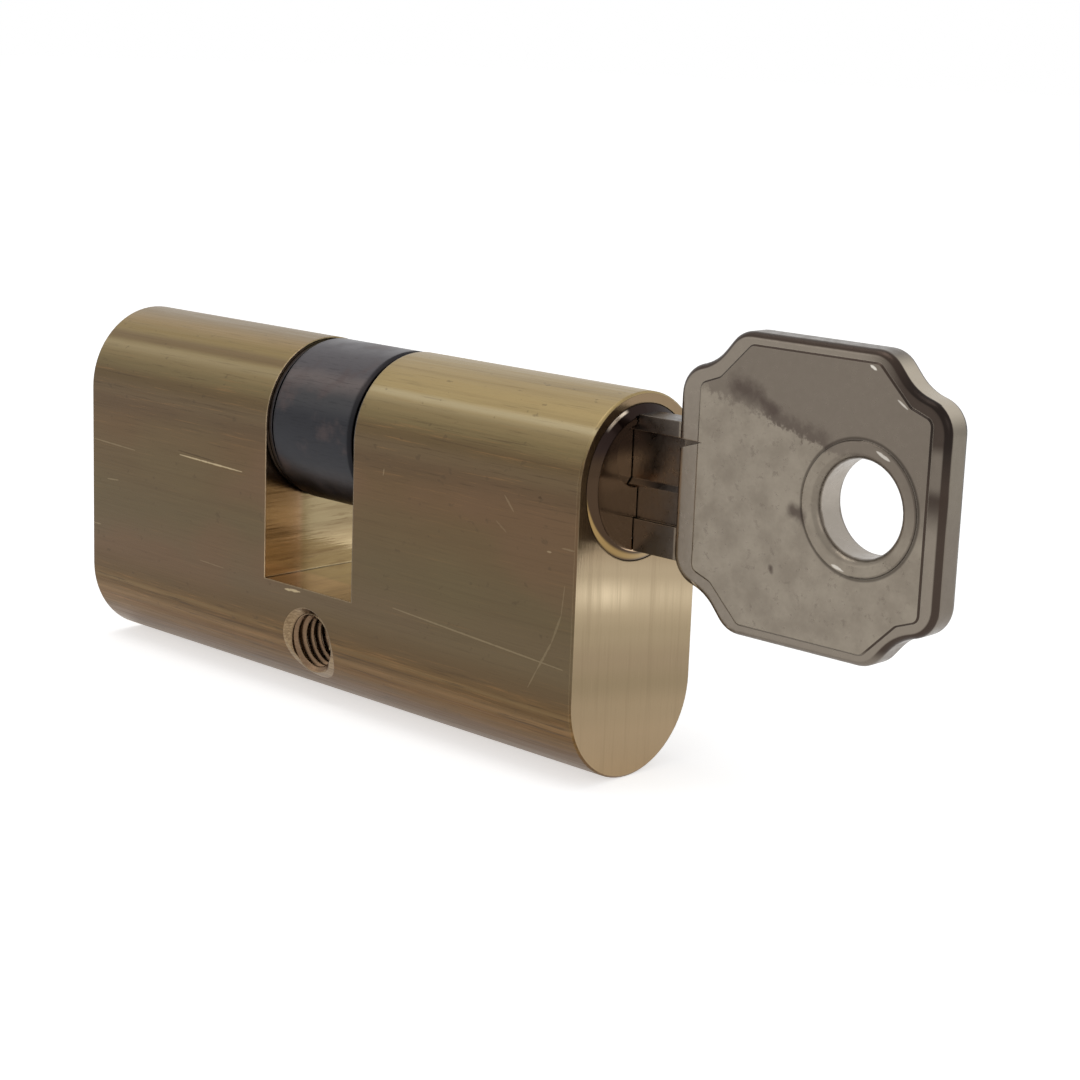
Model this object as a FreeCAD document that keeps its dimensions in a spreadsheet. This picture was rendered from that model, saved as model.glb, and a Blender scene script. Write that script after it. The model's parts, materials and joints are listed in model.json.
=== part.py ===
import FreeCAD, Part
import math
import os
from types import SimpleNamespace

import Sketcher

V = FreeCAD.Vector

# Double cylinder of oval profile with a key in its right half, in millimetres.
# The origin is the centre of the fixing hole. X runs along the plugs, towards the key,
# Y runs across the oval and Z is up.
SIZES = [
    ("body_length", 60.0, "over both end faces"),
    ("body_width", 13.8, "across the flats"),
    ("body_height", 30.0, "over both round ends"),
    ("body_edge", 0.15, "broken edge of an end face"),
    ("axis_rise", 17.8, "plug axis above the fixing hole"),
    ("fixing_width", 5.0, "bore of the fixing hole"),
    ("fixing_mouth", 6.2, "countersink of the fixing hole"),
    ("slot_drop", 13.1, "slot floor below the plug axis"),
    ("turn_gap", 0.03, "radial gap of a turning fit"),
    ("seat_gap", 0.03, "gap between parts that touch"),
    ("head_width", 12.0, "plug head"),
    ("head_depth", 1.5, "plug head sunk in the body"),
    ("plug_width", 11.4, "plug barrel"),
    ("plug_proud", 0.4, "plug face above the end face"),
    ("bevel_width", 0.75, "bevel of the plug face, across"),
    ("bevel_depth", 0.45, "bevel of the plug face, along"),
    ("recess_width", 4.8, "round relief beside the keyway"),
    ("recess_rise", 2.2, "relief above the plug axis"),
    ("recess_side", 0.9, "relief beside the plug axis"),
    ("recess_depth", 1.0, "depth of the relief"),
    ("cam_length", 9.7, "cam along the axis"),
    ("cam_play", 0.25, "cam from the retaining rings"),
    ("cam_width", 13.7, "cam drum"),
    ("cam_edge", 0.25, "broken edge of the drum"),
    ("cam_bore", 8.6, "drum bore round the couplers"),
    ("plug_lap", 1.0, "plug end inside the cam"),
    ("lap_gap", 0.2, "end gap of the plug in the cam"),
    ("tail_reach", 12.6, "cam tail tip from the axis"),
    ("tail_root", 6.4, "cam tail at the drum"),
    ("tail_tip", 4.4, "cam tail at its tip"),
    ("clip_width", 13.2, "retaining ring"),
    ("clip_thick", 0.35, "retaining ring"),
    ("clip_opening", 5.0, "mouth of the retaining ring"),
    ("clip_play", 0.05, "ring from its neighbours"),
    ("clip_groove", 0.5, "depth of the ring groove"),
    ("coupler_width", 2.4, "coupler bar"),
    ("coupler_room", 0.15, "coupler bar inside the ring groove"),
    ("coupler_thick", 3.05, "coupler bar along the axis"),
    ("coupler_boss", 4.4, "coupler boss"),
    ("coupler_gap", 0.05, "coupler in its slot"),
    ("slot_depth", 3.5, "coupler slot in the plug end"),
    ("pin_width", 2.7, "key and driver pins"),
    ("pin_gap", 0.05, "radial gap of a pin"),
    ("pin_tip", 1.0, "flat at a key pin's point"),
    ("pin_point", 0.8, "height of a key pin's point"),
    ("pin_round", 0.16, "broken edge of a pin"),
    ("first_pin", 5.2, "first pin from the end face"),
    ("pin_pitch", 3.8, "from pin to pin"),
    ("pin_stop", 1.0, "top of the pin holes below the axis"),
    ("driver_length", 5.0, "driver pin"),
    ("spring_gap", 0.15, "pin spring in its chamber"),
    ("spring_wire", 0.36, "pin spring wire"),
    ("stopper_length", 2.4, "chamber plug"),
    ("stopper_sunk", 0.2, "chamber plug above the body's base"),
    ("pin_wall", 0.4, "wall between the last pin and the coupler slot"),
    ("cut_first", 3.6, "key edge below the axis at the first pin"),
    ("cut_step", 0.475, "rise of the key edge from pin to pin"),
    ("cut_flat", 2.0, "floor of a cut"),
    ("key_gap", 0.08, "blade in its keyway"),
    ("blade_thick", 2.3, "key blade"),
    ("blade_top", 4.8, "blade back above the axis"),
    ("blade_drop", 4.0, "uncut blade edge below the axis"),
    ("blade_slope", 2.4, "slope of the blade's point"),
    ("bead_drop", 0.65, "side bead under the blade back"),
    ("groove_height", 4.2, "wide side groove"),
    ("groove_web", 0.4, "blade left beside the wide groove"),
    ("step_height", 2.5, "side step under the wide groove"),
    ("step_web", 0.8, "blade left beside the step"),
    ("back_groove", 2.2, "groove of the other side"),
    ("back_web", 0.5, "blade left beside that groove"),
    ("back_rise", 1.2, "top of that groove above the axis"),
    ("neck_top", 5.35, "key neck above the axis"),
    ("neck_drop", 5.0, "key neck below the axis"),
    ("neck_gap", 0.1, "key neck from the plug face"),
    ("bow_gap", 4.0, "key bow from the plug face"),
    ("bow_width", 23.2, "key bow along the axis"),
    ("bow_height", 22.1, "key bow"),
    ("bow_rise", 1.6, "middle of the bow above the axis"),
    ("bow_thick", 2.6, "rim of the bow"),
    ("bow_round", 0.6, "rounded edge of the rim"),
    ("corner_side", 3.4, "corner cut along the bow's side"),
    ("corner_top", 5.2, "corner cut along the bow's top"),
    ("corner_in", 3.1, "inner point of the corner, across"),
    ("corner_down", 2.45, "inner point of the corner, down"),
    ("corner_round", 2.4, "outward rounds of the corner"),
    ("corner_hollow", 4.0, "inward round of the corner"),
    ("panel_side", 1.6, "rim beside the raised panel"),
    ("panel_ahead", 0.35, "panel's middle ahead of the bow's"),
    ("panel_top", 0.85, "rim above and below the panel"),
    ("panel_corner_side", 3.3, "panel's corner cut along its side"),
    ("panel_corner_top", 4.5, "panel's corner cut along its top"),
    ("panel_corner_in", 1.8, "inner point of that corner, across"),
    ("panel_corner_down", 2.65, "inner point of that corner, down"),
    ("panel_round", 0.7, "rounds of the panel's outline"),
    ("panel_rise", 0.15, "panel above the rim"),
    ("panel_slope", 0.13, "sloped edge of the panel"),
    ("eye_width", 6.9, "hole for the key ring"),
    ("eye_inset", 6.7, "that hole's centre from the bow's far side"),
    ("eye_collar", 9.6, "collar round the hole"),
    ("eye_round", 0.7, "rounded edge of the hole"),
    ("collar_rise", 0.2, "collar above the panel"),
    ("collar_round", 0.18, "rounded outer edge of the collar"),
    ("runout_length", 2.4, "side groove running out in the bow"),
    ("runout_height", 0.8, "side groove where it enters the bow"),
    ("over_cut", 1.0, "cuts run past a face by this"),
]
SPRING_TURNS = 6
TOLERANCE = 0.001


class Bound:
    """A length worked out from the sheet, with the expression that says how."""

    def __init__(self, text, value):
        self.text = text
        self.value = value

    def joined(self, sign, other, value):
        right = other.text if isinstance(other, Bound) else repr(float(other))
        return Bound(f"({self.text} {sign} {right})", value)

    def __add__(self, other):
        return self.joined("+", other, self.value + number(other))

    def __sub__(self, other):
        return self.joined("-", other, self.value - number(other))

    def __mul__(self, other):
        return self.joined("*", other, self.value * number(other))

    def __truediv__(self, other):
        return self.joined("/", other, self.value / number(other))

    def __neg__(self):
        return self * -1


def number(length):
    return length.value if isinstance(length, Bound) else length


def bound(length):
    """Gives a plain number the form of a bound length."""
    return length if isinstance(length, Bound) else Bound(repr(float(length)), length)


def fill_sheet(document):
    """Writes the driving sizes and returns each as a bound length."""
    sheet = document.addObject("Spreadsheet::Sheet", "Sizes")
    sheet.Label = "Sizes"
    for row, (name, value, note) in enumerate(SIZES, start=1):
        sheet.set(f"A{row}", name)
        sheet.set(f"B{row}", str(value))
        sheet.set(f"C{row}", note)
        sheet.setAlias(f"B{row}", name)
    document.recompute()
    return SimpleNamespace(**{name: Bound(f"Sizes.{name}", value) for name, value, _ in SIZES})


def new_body(name):
    body = doc.addObject("PartDesign::Body", name)
    body.Label = name
    return body


def new_sketch(body, name, plane, offset=None):
    """Attaches a sketch to one of the body's own planes, lifted along its normal."""
    sketch = body.newObject("Sketcher::SketchObject", f"{body.Name}_{name}")
    support = next(item for item in body.Origin.OriginFeatures if item.Role == plane)
    sketch.AttachmentSupport = [(support, "")]
    sketch.MapMode = "FlatFace"
    if offset is not None:
        sketch.setExpression("AttachmentOffset.Base.z", offset.text)
    return sketch


def fix_point(sketch, geometry, point, across, up):
    """Holds one point of a sketch at two lengths from the sketch's origin."""
    for kind, length in (("DistanceX", bound(across)), ("DistanceY", bound(up))):
        index = sketch.addConstraint(
            Sketcher.Constraint(kind, -1, 1, geometry, point, length.value))
        sketch.setExpression(f"Constraints[{index}]", length.text)


def draw_outline(sketch, corners):
    """Draws a closed outline of straight lines through its corners."""
    count = len(corners)
    spots = [V(number(across), number(up), 0) for across, up in corners]
    lines = [
        sketch.addGeometry(Part.LineSegment(spots[i], spots[(i + 1) % count]), False)
        for i in range(count)
    ]
    for i, line in enumerate(lines):
        following = lines[(i + 1) % count]
        sketch.addConstraint(Sketcher.Constraint("Coincident", line, 2, following, 1))
        fix_point(sketch, line, 1, *corners[i])


def draw_box(sketch, left, right, low, high):
    draw_outline(sketch, [(left, low), (right, low), (right, high), (left, high)])


def draw_circle(sketch, across, up, width):
    radius = width / 2
    circle = sketch.addGeometry(
        Part.Circle(V(number(across), number(up), 0), V(0, 0, 1), radius.value), False)
    fix_point(sketch, circle, 3, across, up)
    index = sketch.addConstraint(Sketcher.Constraint("Radius", circle, radius.value))
    sketch.setExpression(f"Constraints[{index}]", radius.text)


def draw_oval(sketch, half_width, low, high):
    """Draws two half circles joined by straight sides, from the lowest to the highest point."""
    bottom, top = low + half_width, high - half_width
    reach = half_width.value
    round_low = sketch.addGeometry(
        Part.ArcOfCircle(
            Part.Circle(V(0, bottom.value, 0), V(0, 0, 1), reach), -math.pi, 0), False)
    round_high = sketch.addGeometry(
        Part.ArcOfCircle(
            Part.Circle(V(0, top.value, 0), V(0, 0, 1), reach), 0, math.pi), False)
    right = sketch.addGeometry(
        Part.LineSegment(V(reach, bottom.value, 0), V(reach, top.value, 0)), False)
    left = sketch.addGeometry(
        Part.LineSegment(V(-reach, top.value, 0), V(-reach, bottom.value, 0)), False)
    for first, end, second, start in (
            (round_low, 2, right, 1), (right, 2, round_high, 1),
            (round_high, 2, left, 1), (left, 2, round_low, 1)):
        sketch.addConstraint(Sketcher.Constraint("Tangent", first, end, second, start))
    fix_point(sketch, round_low, 3, 0, bottom)
    fix_point(sketch, round_high, 3, 0, top)
    index = sketch.addConstraint(Sketcher.Constraint("Radius", round_high, reach))
    sketch.setExpression(f"Constraints[{index}]", half_width.text)


def extrude(kind, body, sketch, name, length, side="Symmetric"):
    """Adds a Pad or a Pocket of the sketch."""
    feature = body.newObject(f"PartDesign::{kind}", f"{body.Name}_{name}")
    feature.Profile = sketch
    feature.SideType = side
    feature.setExpression("Length", length.text)
    doc.recompute()
    return feature


def pad(body, sketch, name, length, side="Symmetric"):
    return extrude("Pad", body, sketch, name, length, side)


def pocket(body, sketch, name, length, side="Symmetric"):
    return extrude("Pocket", body, sketch, name, length, side)


def turn(kind, body, sketch, name):
    """Adds a Revolution or a Groove about the sketch's first construction line."""
    feature = body.newObject(f"PartDesign::{kind}", f"{body.Name}_{name}")
    feature.Profile = sketch
    feature.ReferenceAxis = (sketch, ["Axis0"])
    feature.Angle = 360
    doc.recompute()
    return feature


def draw_axis(sketch, start, end):
    """Draws the construction line that a turned profile goes round."""
    line = sketch.addGeometry(
        Part.LineSegment(V(*[number(item) for item in start], 0),
                         V(*[number(item) for item in end], 0)), True)
    fix_point(sketch, line, 1, *start)
    fix_point(sketch, line, 2, *end)


def edges(feature, test):
    """Names the edges of a feature whose end points and middle pass a test."""
    names = []
    for index, edge in enumerate(feature.Shape.Edges, start=1):
        middle = edge.valueAt((edge.FirstParameter + edge.LastParameter) / 2)
        if test(edge, middle):
            names.append(f"Edge{index}")
    return names


def is_corner(feature, edge):
    """Tells whether two flat faces meet at an edge."""
    beside = feature.Shape.ancestorsOfType(edge, Part.Face)
    return all(isinstance(face.Surface, Part.Plane) for face in beside)


def dress(kind, body, feature, names, name, length):
    """Adds a Fillet or a Chamfer on the named edges."""
    item = body.newObject(f"PartDesign::{kind}", f"{body.Name}_{name}")
    item.Base = (feature, names)
    item.setExpression("Radius" if kind == "Fillet" else "Size", length.text)
    doc.recompute()
    return item


def near(first, second):
    return abs(first - second) < TOLERANCE


def pin_place(index):
    """Distance of a pin from the middle of the body, along X."""
    return s.body_length / 2 - s.first_pin - s.pin_pitch * index


def cut_depth(index):
    """Distance of the key's cut edge below the axis at a pin."""
    return s.cut_first - s.cut_step * index


def make_cylinder_body():
    """Drawn oval bar with the cam slot, both bores, the pin chambers and the fixing hole."""
    body = new_body("cylinder_body")
    half = s.body_width / 2
    profile = new_sketch(body, "oval", "YZ_Plane")
    draw_oval(profile, half, base, base + s.body_height)
    bar = pad(body, profile, "bar", s.body_length)
    end = s.body_length.value / 2
    rims = edges(bar, lambda edge, middle: near(abs(middle.x), end))
    dress("Chamfer", body, bar, rims, "end_edges", s.body_edge)
    slot = new_sketch(body, "slot", "XZ_Plane")
    draw_box(slot, -slot_end, slot_end, axis - s.slot_drop, axis + s.body_width)
    pocket(body, slot, "cam_slot", s.body_width * 2)
    bore = new_sketch(body, "bore", "XZ_Plane")
    mouth = s.body_length / 2
    wide, narrow = s.head_width / 2 + s.turn_gap, s.plug_width / 2 + s.turn_gap
    shoulder = mouth - s.head_depth
    draw_axis(bore, (0, axis), (mouth, axis))
    draw_outline(bore, [
        (-mouth, axis), (mouth, axis), (mouth, axis + wide), (shoulder, axis + wide),
        (shoulder, axis + narrow), (-shoulder, axis + narrow), (-shoulder, axis + wide),
        (-mouth, axis + wide)])
    turn("Groove", body, bore, "plug_bores")
    chambers = new_sketch(body, "chambers", "XY_Plane", axis)
    for side in (1, -1):
        for index in range(pin_count):
            draw_circle(chambers, pin_place(index) * side, 0, s.pin_width + s.pin_gap * 2)
    pocket(body, chambers, "pin_chambers", s.body_height, "One side")
    fixing = new_sketch(body, "fixing", "YZ_Plane")
    bored, sunk = s.fixing_width / 2, s.fixing_mouth / 2
    draw_axis(fixing, (0, 0), (half, 0))
    draw_outline(fixing, [
        (-half, 0), (half, 0), (half, sunk), (half - (sunk - bored), bored),
        (-half + (sunk - bored), bored), (-half, sunk)])
    turn("Groove", body, fixing, "fixing_hole")


def key_section(top, drop, gap, side):
    """Corners of the key's cross-section, grown by a gap and turned round for the far half."""
    edge = s.blade_thick / 2 + gap
    bead = axis + s.blade_top - s.bead_drop - gap
    groove = axis + s.blade_top - s.bead_drop - s.groove_height + gap
    step = groove - s.step_height
    back_high = axis + s.back_rise - gap
    back_low = axis + s.back_rise - s.back_groove + gap
    high, low = axis + top + gap, axis - drop - gap
    corners = [
        (-edge, high), (-edge, bead), (-(s.groove_web + gap), bead),
        (-(s.groove_web + gap), groove + (s.step_web - s.groove_web)),
        (-(s.step_web + gap), groove), (-(s.step_web + gap), step), (-edge, step),
        (-edge, low), (edge, low), (edge, back_low), (s.back_web + gap, back_low),
        (s.back_web + gap, back_high), (edge, back_high), (edge, high)]
    return [(across * side, up) for across, up in corners]


def make_plug(name, side):
    """Turned plug with its head, ring groove, keyway, pin holes and coupler slot."""
    body = new_body(name)
    barrel, head = s.plug_width / 2, s.head_width / 2
    clip_in = clip_place - s.clip_play
    shoulder = s.body_length / 2 - s.head_depth + s.seat_gap
    profile = new_sketch(body, "profile", "XZ_Plane")
    draw_axis(profile, (0, axis), (face, axis))
    draw_outline(profile, [(along * side, axis + out) for along, out in (
        (plug_end, bound(0)), (plug_end, barrel), (clip_in, barrel),
        (clip_in, barrel - s.clip_groove), (slot_end, barrel - s.clip_groove),
        (slot_end, barrel), (shoulder, barrel), (shoulder, head),
        (face - s.bevel_depth, head), (face, head - s.bevel_width), (face, bound(0)))])
    turn("Revolution", body, profile, "barrel")
    keyway = new_sketch(body, "keyway", "YZ_Plane")
    draw_outline(keyway, key_section(s.blade_top, s.blade_drop, s.key_gap, side))
    pocket(body, keyway, "keyway_cut", s.body_length * 2)
    slot = new_sketch(body, "slot", "XZ_Plane")
    half = s.coupler_width / 2 + s.coupler_gap
    start, floor = (plug_end - s.over_cut) * side, (plug_end + s.slot_depth) * side
    draw_outline(slot, [
        (start, axis - half), (floor, axis - half), (floor, axis + half), (start, axis + half)])
    pocket(body, slot, "coupler_slot", s.head_width * 2)
    holes = new_sketch(body, "holes", "XY_Plane", axis - s.pin_stop)
    for index in range(pin_count):
        draw_circle(holes, pin_place(index) * side, 0, s.pin_width + s.pin_gap * 2)
    pocket(body, holes, "pin_holes", s.head_width, "One side")
    relief = new_sketch(body, "relief", "YZ_Plane", face * side)
    draw_circle(relief, -s.recess_side * side, axis + s.recess_rise, s.recess_width)
    pocket(body, relief, "face_relief", s.recess_depth * 2)


def make_retaining_ring(name, side):
    """Open ring snapped into the plug's groove, against the slot wall."""
    body = new_body(name)
    ring = new_sketch(body, "ring", "YZ_Plane", (clip_place + s.clip_thick / 2) * side)
    draw_circle(ring, 0, axis, s.clip_width)
    draw_circle(ring, 0, axis, s.plug_width - s.clip_groove * 2 + s.clip_play * 2)
    pad(body, ring, "ring_pad", s.clip_thick)
    mouth = new_sketch(body, "mouth", "YZ_Plane")
    draw_box(mouth, -s.clip_opening / 2, s.clip_opening / 2, axis - s.clip_width, axis)
    pocket(body, mouth, "ring_mouth", s.body_length)


def make_cam():
    """Drum between the slot walls, notched inside for the coupler, with its tail to the rear."""
    body = new_body("cam")
    end, rim = s.cam_length / 2, axis + s.cam_width / 2
    drum = new_sketch(body, "drum", "XZ_Plane")
    draw_axis(drum, (0, axis), (end, axis))
    draw_outline(drum, [
        (-end, axis), (-end, rim - s.cam_edge), (s.cam_edge - end, rim),
        (end - s.cam_edge, rim), (end, rim - s.cam_edge), (end, axis)])
    turn("Revolution", body, drum, "drum_turned")
    tail = new_sketch(body, "tail", "YZ_Plane")
    tip = s.tail_reach - s.tail_tip / 2
    draw_outline(tail, [
        (0, axis - s.tail_root / 2), (tip, axis - s.tail_tip / 2),
        (tip, axis + s.tail_tip / 2), (0, axis + s.tail_root / 2)])
    pad(body, tail, "tail_pad", s.cam_length)
    nose = new_sketch(body, "nose", "YZ_Plane")
    draw_circle(nose, tip, axis, s.tail_tip)
    pad(body, nose, "nose_pad", s.cam_length)
    bore = new_sketch(body, "bore", "XZ_Plane")
    seat = plug_end - s.lap_gap
    inner, outer = s.cam_bore / 2, s.plug_width / 2 + s.turn_gap
    draw_axis(bore, (0, axis), (end, axis))
    draw_outline(bore, [
        (-end, axis), (end, axis), (end, axis + outer), (seat, axis + outer),
        (seat, axis + inner), (-seat, axis + inner), (-seat, axis + outer),
        (-end, axis + outer)])
    turn("Groove", body, bore, "drum_bore")
    notch = new_sketch(body, "notch", "YZ_Plane")
    reach, half = coupler_span / 2 + s.coupler_gap * 2, s.coupler_width / 2 + s.coupler_gap
    draw_box(notch, -reach, reach, axis - half, axis + half)
    pocket(body, notch, "coupler_notches", s.cam_length * 2)


def make_coupler(name, side, start):
    """Cross bar that locks a plug to the cam, with a boss towards its twin."""
    body = new_body(name)
    bar = new_sketch(body, "bar", "YZ_Plane", (start + s.coupler_thick / 2) * side)
    draw_box(bar, -coupler_span / 2, coupler_span / 2, axis - s.coupler_width / 2,
             axis + s.coupler_width / 2)
    pad(body, bar, "bar_pad", s.coupler_thick)
    reach = (coupled + parted - s.seat_gap) / 2
    boss = new_sketch(body, "boss", "YZ_Plane", (start - reach / 2) * side)
    draw_circle(boss, 0, axis, s.coupler_boss)
    pad(body, boss, "boss_pad", reach)


def make_pin(name, place, top, bottom, tip=None):
    """Turned pin, pointed at the top where it meets the key."""
    body = new_body(name)
    out = s.pin_width / 2
    profile = new_sketch(body, "profile", "XZ_Plane")
    draw_axis(profile, (place, bottom), (place, top))
    point = [(out - s.pin_round, top), (out, top - s.pin_round)]
    if tip is not None:
        point = [(tip / 2, top), (out, top - s.pin_point)]
    corners = [(bound(0), top)] + point + [
        (out, bottom + s.pin_round), (out - s.pin_round, bottom), (bound(0), bottom)]
    draw_outline(profile, [(place + across, up) for across, up in corners])
    turn("Revolution", body, profile, "pin")


def make_spring(name, place, top, bottom):
    """Coil spring between a driver pin and its chamber plug, its thin wire drawn square."""
    body = new_body(name)
    wire = s.spring_wire
    section = new_sketch(body, "wire", "XZ_Plane")
    out = place + s.pin_width / 2 + s.pin_gap - s.spring_gap
    draw_axis(section, (place, bottom), (place, top))
    draw_box(section, out - wire, out, bottom, bottom + wire)
    coil = body.newObject("PartDesign::AdditiveHelix", f"{name}_coil")
    coil.Profile = section
    coil.ReferenceAxis = (section, ["Axis0"])
    coil.Mode = "height-turns-angle"
    coil.Turns = SPRING_TURNS
    coil.setExpression("Height", (top - bottom - wire).text)
    doc.recompute()


def make_stopper(name, place):
    """Plain plug that closes a pin chamber."""
    body = new_body(name)
    round_end = new_sketch(body, "end", "XY_Plane", base + s.stopper_sunk + s.stopper_length / 2)
    draw_circle(round_end, place, 0, s.pin_width + s.pin_gap)
    pad(body, round_end, "plug", s.stopper_length)


def make_pin_stack(side, letter, index):
    """Key pin, driver, spring and chamber plug of one chamber."""
    place = pin_place(index) * side
    shear = axis - s.plug_width / 2
    floor = base + s.stopper_sunk + s.stopper_length
    label = f"{letter}{index + 1}"
    seated = axis - cut_depth(index) - s.seat_gap
    foot = s.pin_width / 2 - s.pin_round
    length = seated - shear - foot * foot / s.plug_width - s.seat_gap
    tip = seated if side == 1 else axis - s.pin_stop - s.seat_gap
    make_pin(f"key_pin_{label}", place, tip, tip - length, s.pin_tip)
    driver = shear - s.seat_gap * 2 if side == 1 else tip - length - s.seat_gap
    make_pin(f"driver_pin_{label}", place, driver, driver - s.driver_length)
    make_spring(f"pin_spring_{label}", place, driver - s.driver_length - s.seat_gap,
                floor + s.seat_gap)
    make_stopper(f"chamber_plug_{label}", place)


def bow_corners(inset_side, inset_top, ahead, steps):
    """Corners of an outline in the bow, with each of the four cut back in two steps."""
    low, high = axis + s.bow_rise - s.bow_height / 2, axis + s.bow_rise + s.bow_height / 2
    low, high = low + inset_top, high - inset_top
    start = bow_start + ahead
    left, right = start + inset_side, start + s.bow_width - inset_side
    upward = [(left + across, high - down) for across, down in steps]
    onward = [(right - across, high - down) for across, down in reversed(steps)]
    downward = [(right - across, low + down) for across, down in steps]
    back = [(left + across, low + down) for across, down in reversed(steps)]
    return upward + onward + downward + back


def make_bow(body):
    """Pads the scalloped rim, the raised panel and the collar round the ring hole."""
    outline = new_sketch(body, "outline", "XZ_Plane")
    draw_outline(outline, bow_corners(bound(0), bound(0), bound(0), [
        (bound(0), s.corner_side), (s.corner_in, s.corner_down), (s.corner_top, bound(0))]))
    rim = pad(body, outline, "rim", s.bow_thick)
    centre = (bow_start + s.bow_width / 2).value
    inner = (s.bow_width / 2 - s.corner_in).value
    hollows = edges(rim, lambda edge, middle: near(middle.y, 0) and near(
        abs(middle.x - centre), inner))
    hollowed = dress("Fillet", body, rim, hollows, "rim_hollows", s.corner_hollow)
    corners = edges(hollowed, lambda edge, middle: near(middle.y, 0) and is_corner(hollowed, edge))
    rounded = dress("Fillet", body, hollowed, corners, "rim_corners", s.corner_round)
    outside = s.bow_thick.value / 2
    lips = edges(rounded, lambda edge, middle: near(abs(middle.y), outside))
    dress("Fillet", body, rounded, lips, "rim_edges", s.bow_round)
    panel = new_sketch(body, "panel", "XZ_Plane")
    draw_outline(panel, bow_corners(s.panel_side, s.panel_top, s.panel_ahead, [
        (bound(0), s.panel_corner_side), (s.panel_corner_in, s.panel_corner_down),
        (s.panel_corner_top, bound(0))]))
    raised = pad(body, panel, "panel_pad", s.bow_thick + s.panel_rise * 2)
    panel_face = outside + s.panel_rise.value
    turns = edges(raised, lambda edge, middle: near(abs(middle.y), (outside + panel_face) / 2))
    softened = dress("Fillet", body, raised, turns, "panel_corners", s.panel_round)
    borders = edges(softened, lambda edge, middle: near(abs(middle.y), panel_face))
    dress("Chamfer", body, softened, borders, "panel_edges", s.panel_slope)
    collar = new_sketch(body, "collar", "XZ_Plane")
    eye_place = bow_start + s.bow_width - s.eye_inset
    draw_circle(collar, eye_place, axis + s.bow_rise, s.eye_collar)
    pad(body, collar, "collar_pad", s.bow_thick + (s.panel_rise + s.collar_rise) * 2)
    eye = new_sketch(body, "eye", "XZ_Plane")
    draw_circle(eye, eye_place, axis + s.bow_rise, s.eye_width)
    bored = pocket(body, eye, "eye_cut", s.eye_collar)
    crown = panel_face + s.collar_rise.value
    mouths = edges(bored, lambda edge, middle: near(abs(middle.y), crown) and near(
        edge.Curve.Radius, s.eye_width.value / 2))
    opened = dress("Fillet", body, bored, mouths, "eye_edges", s.eye_round)
    rings = edges(opened, lambda edge, middle: near(abs(middle.y), crown) and near(
        edge.Curve.Radius, s.eye_collar.value / 2))
    dress("Fillet", body, opened, rings, "collar_edges", s.collar_round)


def make_key():
    """Key with a scalloped bow, a neck and a grooved blade with five cuts."""
    body = new_body("key")
    make_bow(body)
    stop = face + s.neck_gap
    sunk = bow_start + s.bow_round * 2
    neck = new_sketch(body, "neck", "YZ_Plane", (stop + sunk) / 2)
    draw_outline(neck, key_section(s.neck_top, s.neck_drop, bound(0), 1))
    pad(body, neck, "neck_pad", sunk - stop)
    blade = new_sketch(body, "blade", "YZ_Plane", (key_tip + stop) / 2)
    draw_outline(blade, key_section(s.blade_top, s.blade_drop, bound(0), 1))
    pad(body, blade, "blade_pad", stop - key_tip)
    cut_blade(body)


def cut_blade(body):
    """Cuts the five steps, the pointed end and the run-out of the side groove."""
    edge = axis - s.blade_drop
    deep = edge - s.over_cut
    past = key_tip - s.over_cut
    half = s.cut_flat / 2
    start = pin_place(0) + half + (s.blade_drop - s.cut_first)
    corners = [(start + s.over_cut, deep), (start, edge), (pin_place(0) + half, axis - s.cut_first)]
    for index in range(1, pin_count):
        ramp_end = pin_place(index) + half
        corners.append((ramp_end + s.cut_step, axis - cut_depth(index - 1)))
        corners.append((ramp_end, axis - cut_depth(index)))
    corners.append((past, axis - cut_depth(pin_count - 1)))
    corners.append((past, deep))
    steps = new_sketch(body, "steps", "XZ_Plane")
    draw_outline(steps, corners)
    pocket(body, steps, "bitting", s.blade_thick * 2)
    point = new_sketch(body, "point", "XZ_Plane")
    back, slope = axis + s.blade_top, s.blade_slope
    draw_outline(point, [
        (past, back + s.over_cut), (key_tip + slope + s.over_cut, back + s.over_cut),
        (key_tip + slope, back), (key_tip, back - slope), (past, back - slope)])
    pocket(body, point, "blade_point", s.blade_thick * 2)
    runout = new_sketch(body, "runout", "XZ_Plane", s.bow_thick)
    entry, high = bow_start - s.neck_gap, back - s.bead_drop
    draw_outline(runout, [
        (entry, high), (bow_start + s.runout_length, high), (entry, high - s.runout_height)])
    pocket(body, runout, "groove_runout", s.bow_thick - s.groove_web, "One side")


def check_and_write(bodies):
    """Stops on a failed object, then writes one file for each body."""
    doc.recompute()
    failed = [item.Name for item in doc.Objects if {"Invalid", "Error"} & set(item.State)]
    if failed:
        raise RuntimeError(f"failed objects: {failed}")
    for body in bodies:
        if body.Shape.isNull() or not body.Shape.isValid():
            raise RuntimeError(f"bad shape: {body.Label}")
    for body in bodies:
        body.Shape.exportStep(f"parts/{body.Label}.step")
        print(body.Label, len(body.Shape.Solids), round(body.Shape.Volume, 3))


os.makedirs("parts", exist_ok=True)
doc = FreeCAD.newDocument("OvalCylinder")
s = fill_sheet(doc)
axis = s.axis_rise
base = axis + s.body_width / 2 - s.body_height
face = s.body_length / 2 + s.plug_proud
plug_end = s.cam_length / 2 - s.plug_lap
clip_place = s.cam_length / 2 + s.cam_play
slot_end = clip_place + s.clip_thick + s.clip_play
coupler_span = s.plug_width - (s.clip_groove + s.coupler_room) * 2
coupled = s.cam_length / 2 - s.clip_play - s.coupler_thick
parted = plug_end - s.clip_play
key_tip = coupled + s.coupler_thick + s.seat_gap
bow_start = face + s.bow_gap
last_pin = plug_end + s.slot_depth + s.pin_wall + s.pin_width / 2 + s.pin_gap
pin_count = 1 + int((pin_place(0) - last_pin).value / s.pin_pitch.value)

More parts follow.
